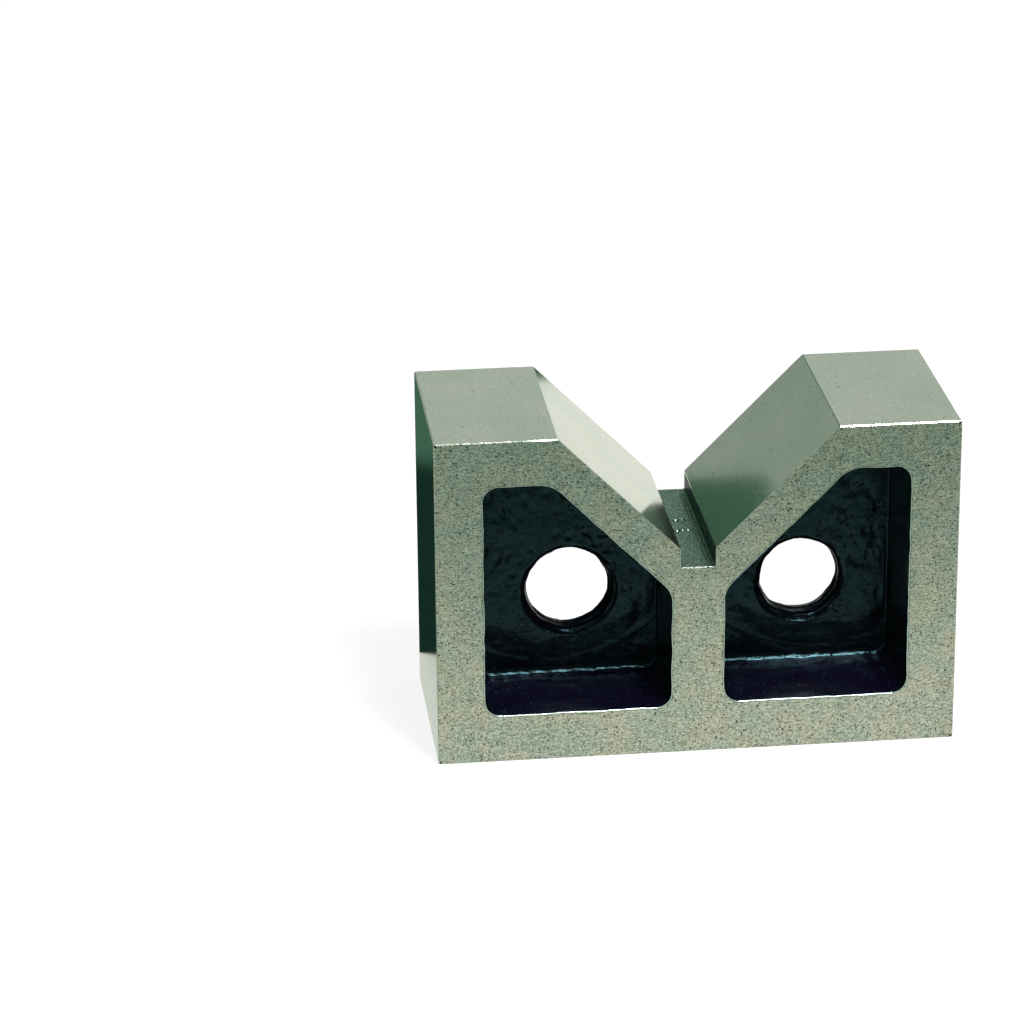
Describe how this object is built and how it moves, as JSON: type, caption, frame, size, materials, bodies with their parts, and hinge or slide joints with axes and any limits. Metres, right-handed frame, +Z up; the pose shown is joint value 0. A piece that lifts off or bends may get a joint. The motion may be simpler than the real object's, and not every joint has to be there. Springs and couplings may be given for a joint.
{
  "type": "v block",
  "caption": "Cast iron V block with a wide right-angled vee, a relief slot at its foot, flat ground lands and base, and cored pockets with a holed web between them.",
  "frame": {"origin": "middle of the ground base", "axes": "+X across the vee, +Y along it from the front face to the back face, +Z up from the base to the lands"},
  "size_m": [0.15, 0.062, 0.098],
  "materials": {
    "iron": "ground outside, black paint over the cast skin in the pockets"
  },
  "bodies": {
    "root": {"v_block": "iron"}
  },
  "joints": []
}
